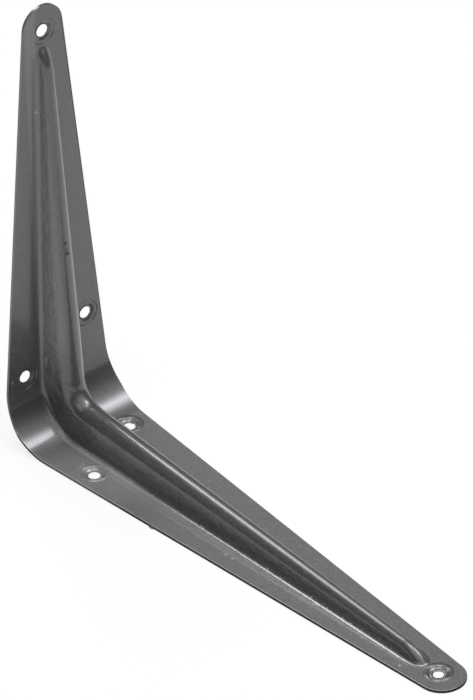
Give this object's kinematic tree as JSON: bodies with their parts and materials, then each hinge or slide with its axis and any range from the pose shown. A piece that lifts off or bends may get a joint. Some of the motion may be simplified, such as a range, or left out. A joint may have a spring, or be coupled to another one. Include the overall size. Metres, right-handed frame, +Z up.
{
  "type": "angle bracket",
  "caption": "Pressed steel angle bracket with a hollow stiffening rib round its bend, tapered legs and dished screw holes, for carrying a shelf on a wall.",
  "frame": {"origin": "where the outer faces of the two legs would meet if the bend were sharp, midway across the sheet", "axes": "+X along the long leg to its tip, +Z up the short leg to its tip, Y across the sheet; the outer faces are the planes z = 0 and x = 0"},
  "size_m": [0.25, 0.0548, 0.2],
  "materials": {
    "enamel": "gloss baked enamel, dark grey"
  },
  "bodies": {
    "root": {"bracket": "enamel"}
  },
  "joints": []
}
